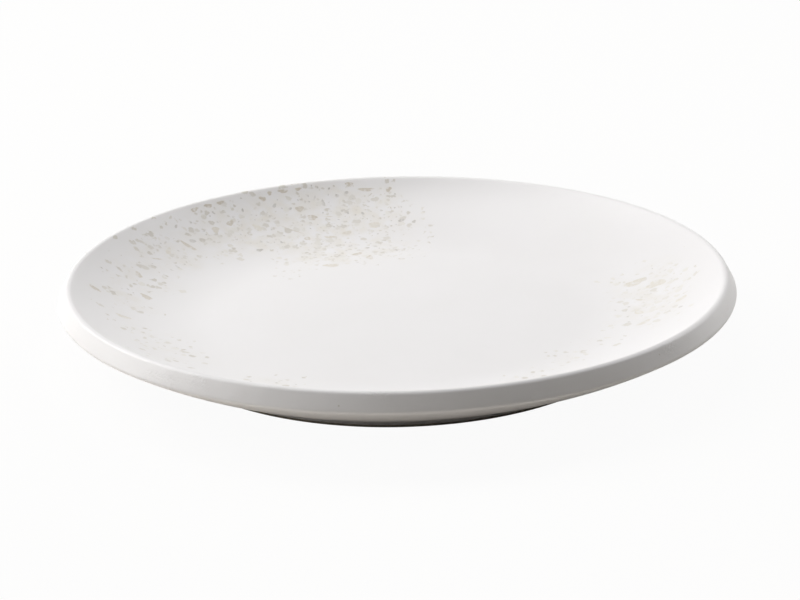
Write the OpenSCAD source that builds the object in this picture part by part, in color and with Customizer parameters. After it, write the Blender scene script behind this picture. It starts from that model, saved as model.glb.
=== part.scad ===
// Coupe dinner plate in white glazed stoneware, with a scatter of warm flecks.
// One section is turned round the axis. The fired clay carries the shape, the glaze is a thin skin
// on it that stops short of the foot's standing edge, and the flecks lie on the glaze of the well.
// The origin is on the axis, on the plane that the foot ring stands on, with +Z up, in millimetres.

/* [Plate] */
// Widest diameter, across the rounded lower edge of the rim
plate_d = 270; // [240:1:320]
// Height of the lip above the table
plate_h = 29.2; // [25:0.1:36]
// Thickness of the floor at the axis, glaze included
floor_t = 6; // [4:0.1:8]
// Thickness of the glaze skin
glaze_t = 0.4; // [0.2:0.05:0.7]

/* [Well] */
// Diameter of the flat floor inside the curved wall
floor_d = 150; // [100:1:180]

/* [Rim] */
// Distance from the crown of the lip out to the widest diameter
lip_inset = 4.5; // [3.5:0.1:7]
// Radius of the crown of the lip
lip_r = 2; // [1:0.1:2.5]
// Drop from the lip to the widest line of the rim
rim_drop = 6.1; // [5:0.1:8]
// Radius of the rounded lower edge of the rim
edge_r = 1.2; // [0.8:0.1:3]

/* [Underside] */
// Radius of the bowl-shaped underside, from the rim to the foot ring
under_r = 150; // [100:1:400]
// Height at which the underside would meet the outer wall of the foot
foot_h = 4.4; // [3:0.1:7]
// Radius of the hollow between the underside and the foot
foot_fillet = 1.2; // [0.8:0.1:2.5]

/* [Foot ring] */
// Outer diameter of the foot ring at the table
foot_d = 190; // [160:1:200]
// Width of the foot ring at the table
foot_w = 6; // [4:0.1:10]
// Lean of the foot's outer wall from upright
foot_lean = 28; // [10:1:35]
// Radius of both edges of the bare standing face
foot_round = 0.5; // [0.4:0.1:1]
// Height of the bare clay that is wiped clean of glaze
wipe_h = 1.5; // [1.2:0.1:2]

/* [Recess inside the foot] */
// Height of the roof of the recess above the table, at the axis
recess_h = 3.6; // [3:0.1:5]
// Rise of the roof from the foot to the axis
recess_dome = 0.5; // [0.2:0.1:1]
// Lean of the foot's inner wall from upright
recess_lean = 20; // [10:1:30]
// Radius of the hollow between the inner wall and the roof
recess_fillet = 1.2; // [0.6:0.1:1.5]

/* [Flecks] */
// Thickness of a fleck on the glaze
fleck_t = 0.12; // [0.08:0.01:0.2]
// Radius of the smallest flecks
fleck_min = 0.6; // [0.4:0.05:0.8]
// Radius of the largest flecks
fleck_max = 1.8; // [1:0.1:2.5]
// Longest fleck against its own radius
fleck_stretch = 1.5; // [1:0.1:2]
// Bare glaze that is left round each fleck
fleck_gap = 0.1; // [0.05:0.05:0.5]
// Share of the flecks that are grey and not sand-coloured
grey_share = 0.4; // [0:0.05:1]
// Width across a middling splash
splash_d = 4; // [3:0.1:5]
// Draw of the scatter
fleck_seed = 11; // [1:1:99]

/* [Hidden] */
$fn = 180;

// Steps along a long shallow curve, and along a small rounding
bowl_steps = 24;
round_steps = 8;

function arc(centre, radius, from, to, steps, first = 0) =
    [for (k = [first : steps])
        let (a = from + (to - from) * k / steps)
        centre + radius * [cos(a), sin(a)]];

function reversed(points) = [for (k = [len(points) - 1 : -1 : 0]) points[k]];

function heading(v) = atan2(v[1], v[0]);

// Where a line meets a circle: side is -1 for the first crossing and 1 for the second
function meet(point, along, centre, radius, side) =
    let (gap = point - centre, b = along * gap, c = gap * gap - radius ^ 2)
    point + (side * sqrt(b ^ 2 - c) - b) * along;

// The well's wall is one arc, level where it leaves the floor and tangent to the crown of the lip
floor_z = recess_h + floor_t;
lip_c = [plate_d / 2 - lip_inset, plate_h - lip_r];
well_reach = lip_c[0] - floor_d / 2;
well_rise = lip_c[1] - floor_z;
well_r = (well_reach ^ 2 + well_rise ^ 2 - lip_r ^ 2) / (2 * (well_rise + lip_r));
well_c = [floor_d / 2, floor_z + well_r];
well_end = heading(lip_c - well_c);

// The band of the rim is the straight line that is tangent to the lip and to the rounded edge
edge_c = [plate_d / 2 - edge_r, plate_h - rim_drop];
rim_run = edge_c - lip_c;
band_normal = heading(rim_run) + acos((lip_r - edge_r) / norm(rim_run));

// The underside is one arc, tangent to the rounded edge, that aims at the top of the foot's wall
foot_corner = [foot_d / 2 + foot_h * tan(foot_lean), foot_h];
under_chord = foot_corner - edge_c;
under_span = norm(under_chord);
under_unit = under_chord / under_span;
under_gap = under_r - edge_r;
under_along = (under_gap ^ 2 - under_r ^ 2 + under_span ^ 2) / (2 * under_span);
under_across = sqrt(under_gap ^ 2 - under_along ^ 2);
under_c = edge_c + under_along * under_unit + under_across * [under_unit[1], -under_unit[0]];
under_start = heading(edge_c - under_c);

// The foot's outer wall leans out towards the underside and joins it in a hollow
wall_up = [sin(foot_lean), cos(foot_lean)];
wall_out = [cos(foot_lean), -sin(foot_lean)];
wall_base = [foot_d / 2, 0];
fillet_c = meet(wall_base + foot_fillet * wall_out, wall_up, under_c, under_r + foot_fillet, -1);
under_end = heading(fillet_c - under_c);

// The foot's inner wall leans in towards a slightly domed roof
inner_up = [-sin(recess_lean), cos(recess_lean)];
inner_out = [-cos(recess_lean), -sin(recess_lean)];
inner_base = [foot_d / 2 - foot_w, 0];
dome_r = (inner_base[0] ^ 2 + recess_dome ^ 2) / (2 * recess_dome);
dome_c = [0, recess_h - dome_r];
recess_c = meet(inner_base + recess_fillet * inner_out, inner_up, dome_c, dome_r - recess_fillet, 1);
recess_end = heading(recess_c - dome_c);

// Upper face of the well at a depth under the glaze, from the axis to the lip
function well_face(depth) = concat(
    [[0, floor_z - depth]],
    arc(well_c, well_r + depth, -90, well_end, bowl_steps));

// Outside of the plate at a depth under the glaze, from the axis over the rim to the wipe line
function outside(depth) = concat(
    well_face(depth),
    arc(lip_c, lip_r - depth, well_end + 180, band_normal, round_steps, 1),
    arc(edge_c, edge_r - depth, band_normal, under_start, round_steps),
    arc(under_c, under_r - depth, under_start, under_end, bowl_steps, 1),
    arc(fillet_c, foot_fillet + depth, under_end + 180, 180 - foot_lean, round_steps, 1),
    [wall_base - depth * wall_out + wipe_h / wall_up[1] * wall_up]);

// Inside of the foot ring at a depth under the glaze, from the wipe line to the axis
function recess(depth) = concat(
    [inner_base - depth * inner_out + wipe_h / inner_up[1] * inner_up],
    arc(recess_c, recess_fillet + depth, recess_lean, recess_end, round_steps),
    arc(dome_c, dome_r + depth, recess_end, 90, round_steps, 1));

// Bare standing face of the foot, with its two rounded edges
function foot_edge_c(base, out) =
    [(base * out - glaze_t - foot_round - foot_round * out[1]) / out[0], foot_round];
standing_edge = concat(
    arc(foot_edge_c(wall_base, wall_out), foot_round, -foot_lean, -90, round_steps),
    arc(foot_edge_c(inner_base, inner_out), foot_round, -90, recess_lean - 180, round_steps));

// A fleck is [place, size, stretch, turn, tone], and its outline is a lobed blob, longer one way
TWO_LOBES = 0.17;
THREE_LOBES = 0.13;
FIVE_LOBES = 0.06;
MAX_LOBE = 1 + TWO_LOBES + THREE_LOBES + FIVE_LOBES;
SPLASH_POINTS = 24;
FLECK_POINTS = 8;

function lobe(fleck, a) =
    1 + TWO_LOBES * sin(2 * a + 360 * fleck[4])
    + THREE_LOBES * sin(3 * a + fleck[3])
    + FIVE_LOBES * sin(5 * a);

function blob(fleck, points) =
    [for (k = [0 : points - 1])
        let (a = 360 * k / points)
        fleck[1] * lobe(fleck, a) * [fleck[2] * cos(a), sin(a) / fleck[2]]];

// Outer edge of the well, where it runs into the lip
well_edge = well_c[0] + well_r * cos(well_end);

function on_well(towards, share) = share * well_edge * [cos(towards), sin(towards)];

// The splashes: direction, distance from the axis as a share of the well, length and width against
// a middling splash, and the turn of the length
SPLASHES = [
    [135, 0.985, 1.2, 0.5, 45],
    [131.5, 0.985, 1.2, 0.5, 42],
    [128.5, 0.985, 1, 0.5, 39],
    [117, 0.985, 0.7, 0.5, 27],
    [114, 0.985, 1.3, 0.5, 24],
    [110.7, 0.985, 0.9, 0.45, 21],
    [99.7, 0.985, 1.2, 0.5, 10],
    [96.3, 0.962, 1.8, 0.6, 6],
    [91.5, 0.96, 0.8, 0.7, 0],
    [119, 0.97, 0.9, 0.7, 30],
    [112, 0.91, 1, 0.9, 20],
    [110, 0.865, 1.4, 0.8, 0],
    [106, 0.86, 1.4, 0.25, 16],
    [116.5, 0.82, 3.4, 0.25, -18],
    [124, 0.86, 1.5, 0.8, -10],
    [129.5, 0.905, 1, 0.8, 60],
    [134, 0.895, 1.1, 0.9, 30],
    [144, 0.87, 2.4, 0.6, -18],
    [150, 0.88, 1.4, 0.7, 80],
    [155, 0.875, 2, 0.25, 30],
    [165, 0.865, 1.2, 0.8, 120],
    [181, 0.94, 1.3, 0.8, -30],
    [174, 0.8, 1.5, 0.9, -20],
    [190, 0.85, 1.4, 1, 0],
    [95.5, 0.8, 1.6, 1, 0],
    [103, 0.765, 1.2, 0.8, 40],
    [108, 0.75, 1.4, 0.7, 0],
    [114, 0.76, 0.9, 0.7, 90],
    [103, 0.6, 1.3, 0.9, 40],
    [99.5, 0.555, 1.7, 0.8, 80],
    [115, 0.52, 1.9, 1.2, 20],
    [11, 0.775, 2, 1.7, 0],
    [6, 0.825, 2, 1.8, 90],
    [0, 0.76, 1.4, 0.5, -40],
    [-8, 0.75, 1.5, 0.9, 90],
    [-8, 0.88, 1.5, 0.8, 40],
    [-16, 0.775, 1.6, 0.9, 30]];

// Each splash has a tone of its own, which also turns its lobes
TONE_STEP = 0.618;
splashes = [
    for (k = [0 : len(SPLASHES) - 1])
        let (row = SPLASHES[k])
        let (size = splash_d / 2 * sqrt(row[2] * row[3]), stretch = sqrt(row[2] / row[3]))
        [on_well(row[0], row[1]), size, stretch, row[4], (k * TONE_STEP) % 1]];

// Where the small flecks gather: direction, then the distance from the axis and the reach round the well
// and across it as shares of the well, the largest as a share of the largest fleck, and how many fall
CLUSTERS = [
    [101, 0.86, 0.17, 0.12, 0.9, 340],
    [117, 0.86, 0.22, 0.12, 1, 320],
    [107, 0.66, 0.2, 0.14, 0.8, 180],
    [97, 0.965, 0.11, 0.03, 0.9, 30],
    [114, 0.975, 0.06, 0.023, 1, 16],
    [131, 0.97, 0.06, 0.023, 1, 16],
    [134, 0.88, 0.17, 0.1, 0.9, 80],
    [154, 0.87, 0.2, 0.08, 0.8, 40],
    [175, 0.85, 0.2, 0.08, 0.8, 40],
    [205, 0.78, 0.25, 0.085, 0.6, 18],
    [235, 0.68, 0.17, 0.054, 0.5, 6],
    [7, 0.81, 0.12, 0.08, 0.8, 70],
    [-5, 0.79, 0.19, 0.11, 0.7, 60],
    [-45, 0.7, 0.28, 0.07, 0.5, 12]];

// Most small flecks are near the smallest size, and a few are large or long
DRAWS = 10;

function bell(draw, first) = draw[first] + draw[first + 1] + draw[first + 2] - 1.5;

function fall(cluster, seed) =
    let (draw = rands(0, 1, cluster[5] * DRAWS, seed))
    [for (k = [0 : DRAWS : len(draw) - DRAWS])
        let (share = cluster[1] + cluster[3] * bell(draw, k))
        let (towards = cluster[0] + cluster[2] / share * bell(draw, k + 3) * 180 / PI)
        let (size = fleck_min + (cluster[4] * fleck_max - fleck_min) * draw[k + 6] ^ 3)
        let (stretch = 1 + (fleck_stretch - 1) * draw[k + 7] ^ 2)
        [on_well(towards, share), size, stretch, 360 * draw[k + 8], draw[k + 9]]];

// How far a fleck may reach in a direction, with all its lobes out
function reach(fleck, way) =
    let (along = way * [cos(fleck[3]), sin(fleck[3])], across = way * [-sin(fleck[3]), cos(fleck[3])])
    MAX_LOBE * fleck[1] * norm([fleck[2] * along, across / fleck[2]]);

// Whether a fleck lies clear of another, going by their reach towards each other
function is_clear(fleck, other) =
    let (gap = fleck[0] - other[0], way = gap / norm(gap))
    norm(gap) > reach(fleck, way) + reach(other, way) + fleck_gap;

function is_clear_of_all(fleck, others) = len([for (other = others) if (!is_clear(fleck, other)) 1]) == 0;

// Keeps each fleck that lies clear of the splashes and of the flecks kept before it
function settled(flecks, k = 0, kept = []) =
    k == len(flecks) ? kept
    : settled(flecks, k + 1,
        is_clear_of_all(flecks[k], concat(splashes, kept)) ? concat(kept, [flecks[k]]) : kept);

fallen = [for (k = [0 : len(CLUSTERS) - 1]) each fall(CLUSTERS[k], fleck_seed + k)];
flecks = settled([for (fleck = fallen) if (norm(fleck[0]) < well_edge - fleck[1] * fleck[2]) fleck]);
sand = [for (fleck = flecks) if (fleck[4] >= grey_share) fleck];
grey = [for (fleck = flecks) if (fleck[4] < grey_share) fleck];

module turned(outline) {
    rotate_extrude()
        polygon(outline);
}

// Flecks are blobs cut from a film that lies on the face of the well
module flecks_on_well(flecks, points) {
    intersection() {
        turned(concat(well_face(-fleck_t), reversed(well_face(0))));
        for (fleck = flecks)
            translate(fleck[0])
                rotate(fleck[3])
                    linear_extrude(plate_h)
                        polygon(blob(fleck, points));
    }
}

module clay_body() {
    color("#b7a996")
        turned(concat(outside(glaze_t), standing_edge, recess(glaze_t)));
}

module white_glaze() {
    color("#f3f1ee")
        turned(concat(outside(0), reversed(outside(glaze_t))));
}

module recess_glaze() {
    color("#e9e6e1")
        turned(concat(recess(0), reversed(recess(glaze_t))));
}

module gold_flecks() {
    color("#cdbd9c")
        flecks_on_well(splashes, SPLASH_POINTS);
}

module sand_flecks() {
    color("#d8cfc0")
        flecks_on_well(sand, FLECK_POINTS);
}

module grey_flecks() {
    color("#aca69e")
        flecks_on_well(grey, FLECK_POINTS);
}

clay_body();
white_glaze();
recess_glaze();
gold_flecks();
sand_flecks();
grey_flecks();
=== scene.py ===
"""Coupe dinner plate in satin white glazed stoneware, with warm flecks melted into the glaze."""
import math
import random

import bmesh
import bpy
from mathutils import Matrix, Vector
from mathutils.bvhtree import BVHTree
from mathutils.interpolate import poly_3d_calc
from mathutils.kdtree import KDTree


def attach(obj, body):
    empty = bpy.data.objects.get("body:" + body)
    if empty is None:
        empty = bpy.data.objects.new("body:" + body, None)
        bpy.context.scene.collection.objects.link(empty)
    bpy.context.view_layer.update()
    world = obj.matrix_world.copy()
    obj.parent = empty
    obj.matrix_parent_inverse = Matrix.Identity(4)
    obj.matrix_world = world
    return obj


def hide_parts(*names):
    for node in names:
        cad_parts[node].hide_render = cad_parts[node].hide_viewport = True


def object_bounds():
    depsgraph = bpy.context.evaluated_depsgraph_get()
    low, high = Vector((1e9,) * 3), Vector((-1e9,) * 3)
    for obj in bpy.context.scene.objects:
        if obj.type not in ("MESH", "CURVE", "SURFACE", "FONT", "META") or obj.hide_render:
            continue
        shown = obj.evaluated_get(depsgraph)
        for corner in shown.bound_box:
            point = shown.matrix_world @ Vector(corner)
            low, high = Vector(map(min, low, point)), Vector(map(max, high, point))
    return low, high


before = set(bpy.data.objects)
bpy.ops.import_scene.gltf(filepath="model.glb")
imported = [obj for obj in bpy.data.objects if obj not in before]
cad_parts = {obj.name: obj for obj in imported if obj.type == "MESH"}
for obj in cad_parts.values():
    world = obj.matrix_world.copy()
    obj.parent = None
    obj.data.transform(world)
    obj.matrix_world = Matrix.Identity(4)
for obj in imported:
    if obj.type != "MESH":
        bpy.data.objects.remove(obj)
cad_low, cad_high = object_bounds()

MM = 0.001
# Points closer than this are merged
WELD = 0.002 * MM
# Distance from the axis to the crown of the lip
LIP_R = cad_high[0] - 4.5 * MM

# Camera: where it stands, how far it looks down, its roll and its field of view, as photographed
CAMERA_AT = Vector((1.1, -716.7, 272.5)) * MM
CAMERA_DOWN = math.radians(19.78)
CAMERA_ROLL = math.radians(-1.137)
CAMERA_ACROSS = math.radians(24)

# Turned skins: sectors round the axis, steps in each, and the longest step along the section, then the
# bend under which a stretch counts as straight and the bend over which an edge counts as sharp
SECTORS = 15
SECTOR_STEPS = 16
SECTION_STEP = 2.4 * MM
STRAIGHT = math.radians(0.1)
SHARP = math.radians(40)

# Flecks by CAD node: the piece, its slot, its material, and the darkest and palest colour
FLECKS = {
    "gold_flecks": ("gold_splashes", "gold_fleck", "gold_iron_glaze", "#c6bbac", "#ede9e1"),
    "sand_flecks": ("sand_specks", "sand_fleck", "sand_iron_glaze", "#d0cac0", "#ebe8e2"),
    "grey_flecks": ("grey_specks", "grey_fleck", "grey_iron_glaze", "#bcb7b0", "#e1deda"),
}
# How far the rim and the middle of a fleck stand over the glaze, and how wide its soft rim is
FLECK_RIM = 0.01 * MM
FLECK_CROWN = 0.02 * MM
FLECK_SOFT = 0.35 * MM
# How steep the top of a fleck may be, as the least rise of its normal
TOP_RISE = 0.5
# Tones from dark to pale are drawn from this range, with this seed
TONES = (0.35, 1)
TONE_SEED = 7
# Less glaze covers a fleck near the lip, so it is darker there: the cover at the lip, and the way in over
# which it would grow from none to full
LEAST_COVER = 0.25
FULL_COVER = 16 * MM
# How much paler flecks are at the right end of the well
PALER = 0.6
# Widths of the mottling in a fleck and of the glaze that flows back over it
FLECK_MOTTLE = 0.9 * MM
FLECK_FLOW = 2.2 * MM

# Finest dust: how far it falls from a fleck, and how many near flecks make it as dense as it gets
DUST_REACH = 11 * MM
DUST_FULL = 9
# Chips in the dust: how far apart they can lie, the width and the reach of the wander in their outlines,
# and the width of the clumps that they gather in
CHIP_APART = 3.4 * MM
CHIP_RAGS = 1.8 * MM
CHIP_WANDER = 3 * MM
CHIP_CLUMP = 9 * MM

# Widths of the clouds in the white glaze, of the blotches of haze and of the orange peel
CLOUD = 30 * MM
BLOTCH = 7 * MM
PEEL = 2.2 * MM
# Rim of the glaze: how far apart its pits can lie, the width of its grit and of its trimming marks, the
# squeeze across the axis that draws those marks out round the rim, and the width of its rough patches
PIT_APART = 13 * MM
RIM_GRIT = 0.9 * MM
TRIM_MARK = 0.9 * MM
TRIM_SQUEEZE = 0.04
RIM_PATCH = 18 * MM
# Width of the grit in the bare clay
CLAY_GRIT = 0.8 * MM

# Soft studio lamps: direction and height in degrees, and power in watts
LAMPS = {
    "overhead_softbox": (120, 70, 7.4),
    "left_back_softbox": (150, 40, 10.6),
    "left_softbox": (180, 40, 6.8),
    "left_low_softbox": (180, 10, 4.7),
    "right_back_softbox": (30, 40, 6.8),
    "right_low_softbox": (30, 10, 2.7),
}
# Distance of each lamp and the side of its softbox, in metres
LAMP_AWAY = 1.6
LAMP_SIDE = 0.8
ROOM_LIGHT = 0.01

# Paper on the table: its side in metres, how far it lies under the foot, how much of the shadow shows on
# it, how brightly it glows back at the plate as painted bounce light, how far out that glow starts and is
# full (inside, a painted shadow of the plate), and where it fades from left to right
FLOOR_SIDE = 12
FLOOR_BELOW = 0.05 * MM
FLOOR_SHADOW = 0.05
FLOOR_GLOW = 0.38
PAINTED_SHADOW_FULL = 122 * MM
PAINTED_SHADOW_GONE = 185 * MM
GLOW_LEFT = -250 * MM
GLOW_RIGHT = 100 * MM


def linear(colour):
    """An sRGB hex colour as the linear values that a shader takes."""
    parts = [int(colour[k:k + 2], 16) / 255 for k in (1, 3, 5)]
    return [*(c / 12.92 if c <= 0.04045 else ((c + 0.055) / 1.055) ** 2.4 for c in parts), 1]


def add_node(tree, kind, inputs=None, **settings):
    """Adds a shader node, sets it up, and gives each input a value or a link."""
    node = tree.nodes.new("ShaderNode" + kind)
    for name, value in settings.items():
        setattr(node, name, value)
    for name, value in (inputs or {}).items():
        if isinstance(value, bpy.types.NodeSocket):
            tree.links.new(value, node.inputs[name])
        else:
            node.inputs[name].default_value = value
    return node


def new_material(name):
    """An empty material: its node tree and the piece's own coordinates."""
    material = bpy.data.materials.new(name)
    material.use_nodes = True
    tree = material.node_tree
    tree.nodes.clear()
    place = add_node(tree, "TexCoord").outputs["Object"]
    return material, tree, place


def flecked_white(tree, place):
    """Colour of the glaze: faintly cloudy white, with cream haze and small chips where flecks gather."""
    cloud = add_node(tree, "TexNoise", {"Vector": place, "Scale": 1 / CLOUD, "Detail": 2})
    white = add_node(tree, "Mix", {
        0: cloud.outputs["Fac"], 6: linear("#f2f0ef"), 7: linear("#f5f3f3")}, data_type="RGBA")
    dust = add_node(tree, "Attribute", attribute_name="dust").outputs["Fac"]
    blotch = add_node(tree, "TexNoise", {"Vector": place, "Scale": 1 / BLOTCH, "Detail": 2})
    haze = add_node(tree, "MapRange", {
        "Value": blotch.outputs["Fac"], "From Min": 0.35, "From Max": 0.7, "To Max": 0.6})
    haze = add_node(tree, "Math", {0: haze.outputs["Result"], 1: dust}, operation="MULTIPLY")
    hazed = add_node(tree, "Mix", {
        0: haze.outputs[0], 6: white.outputs[2], 7: linear("#e6dfd0")}, data_type="RGBA")

    # Chips too small for solids of their own are ragged cells, and only a share of the cells is kept
    rags = add_node(tree, "TexNoise", {"Vector": place, "Scale": 1 / CHIP_RAGS, "Detail": 3})
    ragged = add_node(tree, "VectorMath", {
        0: rags.outputs["Color"], 1: [CHIP_WANDER] * 3, 2: place}, operation="MULTIPLY_ADD")
    cells = add_node(tree, "TexVoronoi", {"Vector": ragged.outputs["Vector"], "Scale": 1 / CHIP_APART})
    luck = add_node(tree, "SeparateColor", {0: cells.outputs["Color"]})
    share = add_node(tree, "Math", {0: dust, 1: 0.6}, operation="POWER")
    clumps = add_node(tree, "TexNoise", {"Vector": place, "Scale": 1 / CHIP_CLUMP, "Detail": 1})
    clumps = add_node(tree, "MapRange", {
        "Value": clumps.outputs["Fac"], "From Min": 0.4, "From Max": 0.6, "To Min": 0.4, "To Max": 1.9})
    share = add_node(tree, "Math", {
        0: share.outputs[0], 1: clumps.outputs["Result"]}, operation="MULTIPLY")
    kept = add_node(tree, "Math", {
        0: luck.outputs["Red"], 1: share.outputs[0]}, operation="LESS_THAN")

    # Most chips are small and a few are large, and each has its own tone
    spread = add_node(tree, "Math", {0: luck.outputs["Blue"], 1: 2}, operation="POWER")
    size = add_node(tree, "Math", {
        0: spread.outputs[0], 1: -0.4, 2: cells.outputs["Distance"]}, operation="MULTIPLY_ADD")
    chips = add_node(tree, "MapRange", {
        "Value": size.outputs[0], "From Min": 0.1, "From Max": 0.28, "To Min": 1, "To Max": 0})
    chips = add_node(tree, "Math", {
        0: chips.outputs["Result"], 1: kept.outputs[0]}, operation="MULTIPLY")
    cover = add_node(tree, "Attribute", attribute_name="cover").outputs["Fac"]
    right = add_node(tree, "Attribute", attribute_name="right").outputs["Fac"]
    shade = add_node(tree, "Math", {
        0: luck.outputs["Green"], 1: cover, 2: right}, operation="MULTIPLY_ADD")
    chip = add_node(tree, "Mix", {
        0: shade.outputs[0], 6: linear("#d8d3cb"), 7: linear("#eeebe6")}, data_type="RGBA")
    chipped = add_node(tree, "Mix", {
        0: chips.outputs[0], 6: hazed.outputs[2], 7: chip.outputs[2]}, data_type="RGBA")
    return chipped.outputs[2]


def satin_white_glaze():
    """Opaque white stoneware glaze: satin, faintly uneven like orange peel, with a few pits at the rim."""
    material, tree, place = new_material("satin_white_glaze")
    peel = add_node(tree, "TexNoise", {"Vector": place, "Scale": 1 / PEEL, "Detail": 2})

    # The rim, where the glaze runs thin, has pits from gas bubbles, trimming marks and rough patches
    flat = add_node(tree, "VectorMath", {0: place, 1: (1, 1, 0)}, operation="MULTIPLY")
    out = add_node(tree, "VectorMath", {0: flat.outputs["Vector"]}, operation="LENGTH")
    rim = add_node(tree, "Math", {0: out.outputs["Value"], 1: LIP_R}, operation="GREATER_THAN")
    bubbles = add_node(tree, "TexVoronoi", {"Vector": place, "Scale": 1 / PIT_APART})
    pits = add_node(tree, "MapRange", {
        "Value": bubbles.outputs["Distance"], "From Min": 0.01, "From Max": 0.04, "To Min": 1,
        "To Max": 0})
    pits = add_node(tree, "Math", {0: pits.outputs["Result"], 1: rim.outputs[0]}, operation="MULTIPLY")
    round_rim = add_node(tree, "Mapping", {"Vector": place, "Scale": (TRIM_SQUEEZE, TRIM_SQUEEZE, 1)})
    marks = add_node(tree, "TexNoise", {
        "Vector": round_rim.outputs["Vector"], "Scale": 1 / TRIM_MARK, "Detail": 2})
    grit = add_node(tree, "TexNoise", {"Vector": place, "Scale": 1 / RIM_GRIT, "Detail": 1})
    patch = add_node(tree, "TexNoise", {"Vector": place, "Scale": 1 / RIM_PATCH, "Detail": 1})
    patch = add_node(tree, "MapRange", {
        "Value": patch.outputs["Fac"], "From Min": 0.55, "From Max": 0.65, "To Max": 6})
    rough = add_node(tree, "Math", {
        0: grit.outputs["Fac"], 1: patch.outputs["Result"], 2: marks.outputs["Fac"]},
        operation="MULTIPLY_ADD")
    rough = add_node(tree, "Math", {0: rough.outputs[0], 1: rim.outputs[0]}, operation="MULTIPLY")
    height = add_node(tree, "Math", {
        0: rough.outputs[0], 1: 2, 2: peel.outputs["Fac"]}, operation="MULTIPLY_ADD")
    height = add_node(tree, "Math", {
        0: pits.outputs[0], 1: -1.5, 2: height.outputs[0]}, operation="MULTIPLY_ADD")
    relief = add_node(tree, "Bump", {
        "Height": height.outputs[0], "Distance": 0.03 * MM, "Strength": 0.5})

    colour = add_node(tree, "Mix", {
        0: pits.outputs[0], 6: flecked_white(tree, place), 7: linear("#d2ccc4")}, data_type="RGBA")
    cloud = add_node(tree, "TexNoise", {"Vector": place, "Scale": 1 / CLOUD, "Detail": 2})
    sheen = add_node(tree, "MapRange", {"Value": cloud.outputs["Fac"], "To Min": 0.34, "To Max": 0.44})
    shader = add_node(tree, "BsdfPrincipled", {
        "Base Color": colour.outputs[2], "Roughness": sheen.outputs["Result"], "IOR": 1.5,
        "Normal": relief.outputs["Normal"]})
    add_node(tree, "OutputMaterial", {"Surface": shader.outputs["BSDF"]})
    return material


def bare_stoneware():
    """Fired clay wiped clean of glaze: matt, sandy, warm grey-beige with darker grit."""
    material, tree, place = new_material("bare_stoneware")
    grit = add_node(tree, "TexNoise", {"Vector": place, "Scale": 1 / CLAY_GRIT, "Detail": 3})
    clay = add_node(tree, "Mix", {
        0: grit.outputs["Fac"], 6: linear("#8f8578"), 7: linear("#b5aa9a")}, data_type="RGBA")
    relief = add_node(tree, "Bump", {
        "Height": grit.outputs["Fac"], "Distance": 0.08 * MM, "Strength": 0.6})
    shader = add_node(tree, "BsdfPrincipled", {
        "Base Color": clay.outputs[2], "Roughness": 0.85, "IOR": 1.5,
        "Normal": relief.outputs["Normal"]})
    add_node(tree, "OutputMaterial", {"Surface": shader.outputs["BSDF"]})
    return material


def iron_stained_glaze(name, dark, pale):
    """Glaze stained by iron in a melted fleck: mottled in the middle and fading out at its rim."""
    material, tree, place = new_material(name)
    melt = add_node(tree, "Attribute", attribute_name="melt").outputs["Fac"]
    tone = add_node(tree, "Attribute", attribute_name="tone").outputs["Fac"]
    mottle = add_node(tree, "TexNoise", {"Vector": place, "Scale": 1 / FLECK_MOTTLE, "Detail": 1})
    shade = add_node(tree, "Math", {
        0: mottle.outputs["Fac"], 1: 0.6, 2: tone}, operation="MULTIPLY_ADD")
    shade = add_node(tree, "MapRange", {"Value": shade.outputs[0], "From Min": 0.2, "From Max": 1.4})
    stain = add_node(tree, "Mix", {
        0: shade.outputs["Result"], 6: linear(dark), 7: linear(pale)}, data_type="RGBA")
    # Glaze flows back over parts of a fleck, so a large one breaks up into patches
    flow = add_node(tree, "TexNoise", {"Vector": place, "Scale": 1 / FLECK_FLOW, "Detail": 2})
    patches = add_node(tree, "MapRange", {
        "Value": flow.outputs["Fac"], "From Min": 0.36, "From Max": 0.5, "To Min": 0.3})
    fade = add_node(tree, "MapRange", {
        "Value": melt, "From Max": FLECK_SOFT}, interpolation_type="SMOOTHSTEP")
    fade = add_node(tree, "Math", {
        0: fade.outputs["Result"], 1: patches.outputs["Result"]}, operation="MULTIPLY")
    colour = add_node(tree, "Mix", {
        0: fade.outputs[0], 6: flecked_white(tree, place), 7: stain.outputs[2]}, data_type="RGBA")
    shader = add_node(tree, "BsdfPrincipled", {
        "Base Color": colour.outputs[2], "Roughness": 0.4, "IOR": 1.5})
    add_node(tree, "OutputMaterial", {"Surface": shader.outputs["BSDF"]})
    return material


def new_piece(name, bm, node, material):
    """Makes a piece that stands for a CAD node and rides on the plate."""
    mesh = bpy.data.meshes.new(name)
    bm.to_mesh(mesh)
    bm.free()
    mesh.materials.append(material)
    mesh.set_sharp_from_angle(angle=SHARP)
    piece = bpy.data.objects.new(name, mesh)
    bpy.context.scene.collection.objects.link(piece)
    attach(piece, "root")
    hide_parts(node)
    return piece


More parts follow.
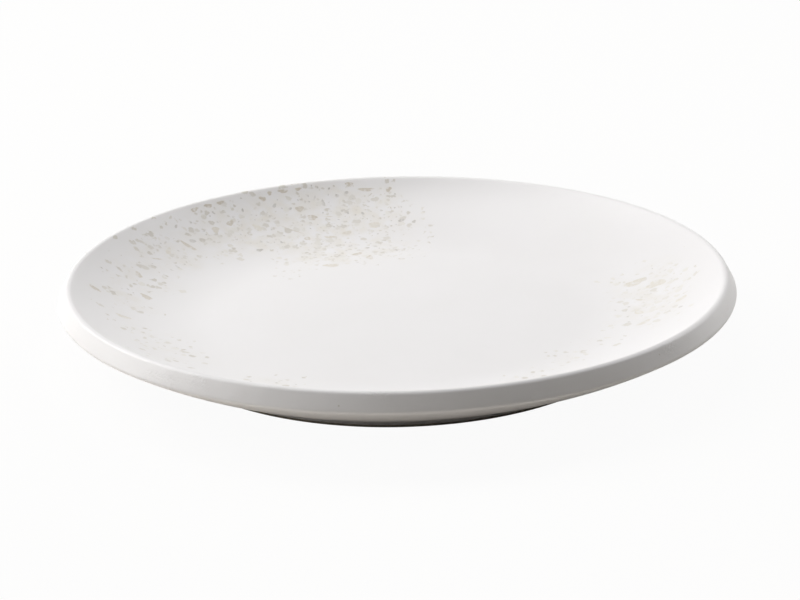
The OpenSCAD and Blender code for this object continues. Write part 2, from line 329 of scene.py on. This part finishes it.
def turned_skin(node):
    """Turns a CAD node's own section round the axis again, in fine even steps."""
    bm = bmesh.new()
    bm.from_mesh(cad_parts[node].data)
    bmesh.ops.remove_doubles(bm, verts=bm.verts, dist=WELD)
    # The half on the right is kept, and then only its cut from left to right: the section
    for normal, drop_back in (((1, 0, 0), False), ((0, 1, 0), True)):
        bmesh.ops.bisect_plane(
            bm, geom=[*bm.verts, *bm.edges, *bm.faces], dist=WELD, plane_co=(0, 0, 0), plane_no=normal,
            clear_inner=True, clear_outer=drop_back)
    bmesh.ops.remove_doubles(bm, verts=bm.verts, dist=WELD)
    straight = [v for v in bm.verts if len(v.link_edges) == 2 and v.calc_edge_angle(0) < STRAIGHT]
    bmesh.ops.dissolve_verts(bm, verts=straight)
    for edge in bm.edges[:]:
        cuts = int(edge.calc_length() / SECTION_STEP)
        if cuts:
            bmesh.ops.subdivide_edges(bm, edges=[edge], cuts=cuts)
    # The section is turned through one sector, which is then copied round the axis
    sector = math.tau / SECTORS
    for angle, steps, apart in ((sector, SECTOR_STEPS, False), (math.tau - sector, SECTORS - 1, True)):
        bmesh.ops.spin(
            bm, geom=[*bm.verts, *bm.edges, *bm.faces], cent=(0, 0, 0), axis=(0, 0, 1), angle=angle,
            steps=steps, use_duplicate=apart)
    bmesh.ops.remove_doubles(bm, verts=bm.verts, dist=WELD)
    bmesh.ops.recalc_face_normals(bm, faces=bm.faces)
    for face in bm.faces:
        face.smooth = True
    return bm


def cover_at(place):
    """How much glaze covers the flecks here: little near the lip."""
    away_from_lip = LIP_R - Vector(place.xy).length
    return max(0, min(1, LEAST_COVER + away_from_lip / FULL_COVER))


def right_at(place):
    """How much paler the flecks are here than on the left."""
    return PALER * max(0, place.x / LIP_R)


def sink(vert, glaze_tree, height):
    """Moves a point to a small height over the glaze."""
    place, normal, _, _ = glaze_tree.find_nearest(vert.co)
    vert.co = place + height * normal


def melted_flecks(node, draw, glaze_bm):
    """Copies a CAD node's flecks and sinks them, each marked with a tone and the way in from its rim."""
    bm = bmesh.new()
    bm.from_mesh(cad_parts[node].data)
    melt = bm.verts.layers.float.new("melt")
    tone = bm.verts.layers.float.new("tone")
    bmesh.ops.remove_doubles(bm, verts=bm.verts, dist=WELD)
    # The top of each fleck becomes one face with a point in its middle
    tops = [face for face in bm.faces if face.normal.z > TOP_RISE]
    tops = bmesh.ops.dissolve_faces(bm, faces=tops)["region"]
    middles = bmesh.ops.poke(bm, faces=tops)["verts"]
    glaze_tree = BVHTree.FromBMesh(glaze_bm)
    for middle in middles:
        rim = [edge.other_vert(middle) for edge in middle.link_edges]
        middle[melt] = min((corner.co - middle.co).length for corner in rim)
        shade = min(1, draw.uniform(*TONES) * cover_at(middle.co) + right_at(middle.co))
        for corner in rim:
            sink(corner, glaze_tree, FLECK_RIM)
            corner[tone] = shade
        sink(middle, glaze_tree, FLECK_CROWN)
        middle[tone] = shade
        for face in middle.link_faces:
            face.smooth = True
    return bm, [middle.co.copy() for middle in middles]


def mark_dust(bm, places):
    """Marks each point with how thickly flecks lie round it, if it faces up, and how pale they are."""
    dust = bm.verts.layers.float.new("dust")
    cover = bm.verts.layers.float.new("cover")
    right = bm.verts.layers.float.new("right")
    near = KDTree(len(places))
    for k, place in enumerate(places):
        near.insert(place, k)
    near.balance()
    for vert in bm.verts:
        found = near.find_range(vert.co, DUST_REACH) if vert.normal.z > 0 else []
        vert[dust] = min(1, sum(1 - away / DUST_REACH for _, _, away in found) / DUST_FULL)
        vert[cover] = cover_at(vert.co)
        vert[right] = right_at(vert.co)


def shade_like(mesh, glaze_bm):
    """Gives each point of a mesh the smooth normal of the glaze next to it."""
    glaze_tree = BVHTree.FromBMesh(glaze_bm)
    glaze_bm.faces.ensure_lookup_table()
    normals = []
    for vert in mesh.vertices:
        place, _, face, _ = glaze_tree.find_nearest(vert.co)
        corners = glaze_bm.faces[face].verts
        shares = poly_3d_calc([corner.co for corner in corners], place)
        normal = Vector((0, 0, 0))
        for corner, share in zip(corners, shares):
            normal += share * corner.normal
        normals.append(normal.normalized())
    mesh.normals_split_custom_set_from_vertices(normals)


def soft_lamp(name, direction, height, power):
    """A square softbox that faces the plate."""
    turn, rise = math.radians(direction), math.radians(height)
    out = Vector((math.cos(turn) * math.cos(rise), math.sin(turn) * math.cos(rise), math.sin(rise)))
    lamp = bpy.data.lights.new(name, "AREA")
    lamp.size = LAMP_SIDE
    lamp.energy = power
    lamp_object = bpy.data.objects.new(name, lamp)
    lamp_object.location = out * LAMP_AWAY
    lamp_object.rotation_euler = out.to_track_quat("Z", "Y").to_euler()
    bpy.context.scene.collection.objects.link(lamp_object)


def seen_directly(tree, reflected=None):
    """1 where the camera, a reflection or a refraction looks, 0 where light only bounces."""
    path = add_node(tree, "LightPath")
    seen = add_node(tree, "Math", {
        0: path.outputs["Is Camera Ray"], 1: path.outputs["Is Transmission Ray"]}, operation="MAXIMUM")
    glossy = path.outputs["Is Glossy Ray"]
    if reflected:
        glossy = add_node(tree, "Math", {0: glossy, 1: reflected}, operation="MULTIPLY").outputs[0]
    return add_node(tree, "Math", {0: seen.outputs[0], 1: glossy}, operation="MAXIMUM").outputs[0]


def white_paper():
    """Plain white paper: shows as white with a soft shadow, and glows back at the plate from the left as
    painted bounce light.
    """
    material, tree, place = new_material("white_paper")
    paper = add_node(tree, "BsdfDiffuse", {"Color": linear("#e8e3db")})
    white = add_node(tree, "Emission", {"Color": linear("#ffffff"), "Strength": 1})
    shown = add_node(tree, "MixShader", {0: FLOOR_SHADOW, 1: white.outputs[0], 2: paper.outputs[0]})
    # Painted bounce light: the paper glows back at the plate but not under it, which paints the plate's
    # shadow there, and it glows more on the left than on the right
    away = add_node(tree, "VectorMath", {0: place}, operation="LENGTH")
    clear = add_node(tree, "MapRange", {
        "Value": away.outputs["Value"], "From Min": PAINTED_SHADOW_FULL, "From Max": PAINTED_SHADOW_GONE},
        interpolation_type="SMOOTHSTEP").outputs["Result"]
    across = add_node(tree, "SeparateXYZ", {0: place}).outputs["X"]
    side = add_node(tree, "MapRange", {
        "Value": across, "From Min": GLOW_LEFT, "From Max": GLOW_RIGHT, "To Min": FLOOR_GLOW,
        "To Max": 0}, interpolation_type="SMOOTHSTEP").outputs["Result"]
    glow = add_node(tree, "Math", {0: clear, 1: side}, operation="MULTIPLY")
    glow = add_node(tree, "Emission", {"Color": linear("#ffffff"), "Strength": glow.outputs[0]})
    bounced = add_node(tree, "AddShader", {0: paper.outputs[0], 1: glow.outputs[0]})
    mixed = add_node(tree, "MixShader", {
        0: seen_directly(tree, clear), 1: bounced.outputs[0], 2: shown.outputs[0]})
    add_node(tree, "OutputMaterial", {"Surface": mixed.outputs[0]})
    return material


def floor():
    """The sheet of paper that the plate stands on."""
    bm = bmesh.new()
    bmesh.ops.create_grid(bm, x_segments=1, y_segments=1, size=FLOOR_SIDE / 2)
    mesh = bpy.data.meshes.new("floor")
    bm.to_mesh(mesh)
    bm.free()
    mesh.materials.append(white_paper())
    sheet = bpy.data.objects.new("floor", mesh)
    sheet.location.z = cad_low[2] - FLOOR_BELOW
    bpy.context.scene.collection.objects.link(sheet)


def pale_room():
    """Even light from all round that shows as white."""
    world = bpy.data.worlds.new("pale_room")
    world.use_nodes = True
    tree = world.node_tree
    tree.nodes.clear()
    dim = add_node(tree, "Background", {"Color": linear("#ffffff"), "Strength": ROOM_LIGHT})
    white = add_node(tree, "Background", {"Color": linear("#ffffff"), "Strength": 1})
    mixed = add_node(tree, "MixShader", {
        0: seen_directly(tree), 1: dim.outputs[0], 2: white.outputs[0]})
    add_node(tree, "OutputWorld", {"Surface": mixed.outputs[0]})
    bpy.context.scene.world = world


def camera():
    """The photograph's viewpoint."""
    lens = bpy.data.cameras.new("camera")
    lens.angle = CAMERA_ACROSS
    holder = bpy.data.objects.new("camera", lens)
    tilt = Matrix.Rotation(math.pi / 2 - CAMERA_DOWN, 4, "X")
    holder.matrix_world = Matrix.Translation(CAMERA_AT) @ tilt @ Matrix.Rotation(CAMERA_ROLL, 4, "Z")
    bpy.context.scene.collection.objects.link(holder)
    bpy.context.scene.camera = holder


bpy.context.scene.view_settings.view_transform = "Standard"
camera()
floor()
pale_room()
for lamp_name, lamp_setting in LAMPS.items():
    soft_lamp(lamp_name, *lamp_setting)

# All flecks are made before any dust is marked, because it falls round every one of them
tone_draw = random.Random(TONE_SEED)
glaze_mesh = turned_skin("white_glaze")
fleck_meshes = {}
fleck_places = []
for fleck_node in FLECKS:
    fleck_meshes[fleck_node], places = melted_flecks(fleck_node, tone_draw, glaze_mesh)
    fleck_places += places
for fleck_node, (piece_name, slot_name, material_name, dark_tone, pale_tone) in FLECKS.items():
    mark_dust(fleck_meshes[fleck_node], fleck_places)
    stained = iron_stained_glaze(material_name, dark_tone, pale_tone)
    piece = new_piece(piece_name, fleck_meshes[fleck_node], fleck_node, stained)
    shade_like(piece.data, glaze_mesh)

glaze = satin_white_glaze()
mark_dust(glaze_mesh, fleck_places)
new_piece("glaze_skin", glaze_mesh, "white_glaze", glaze)
new_piece("recess_skin", turned_skin("recess_glaze"), "recess_glaze", glaze)
new_piece("clay_foot", turned_skin("clay_body"), "clay_body", bare_stoneware())
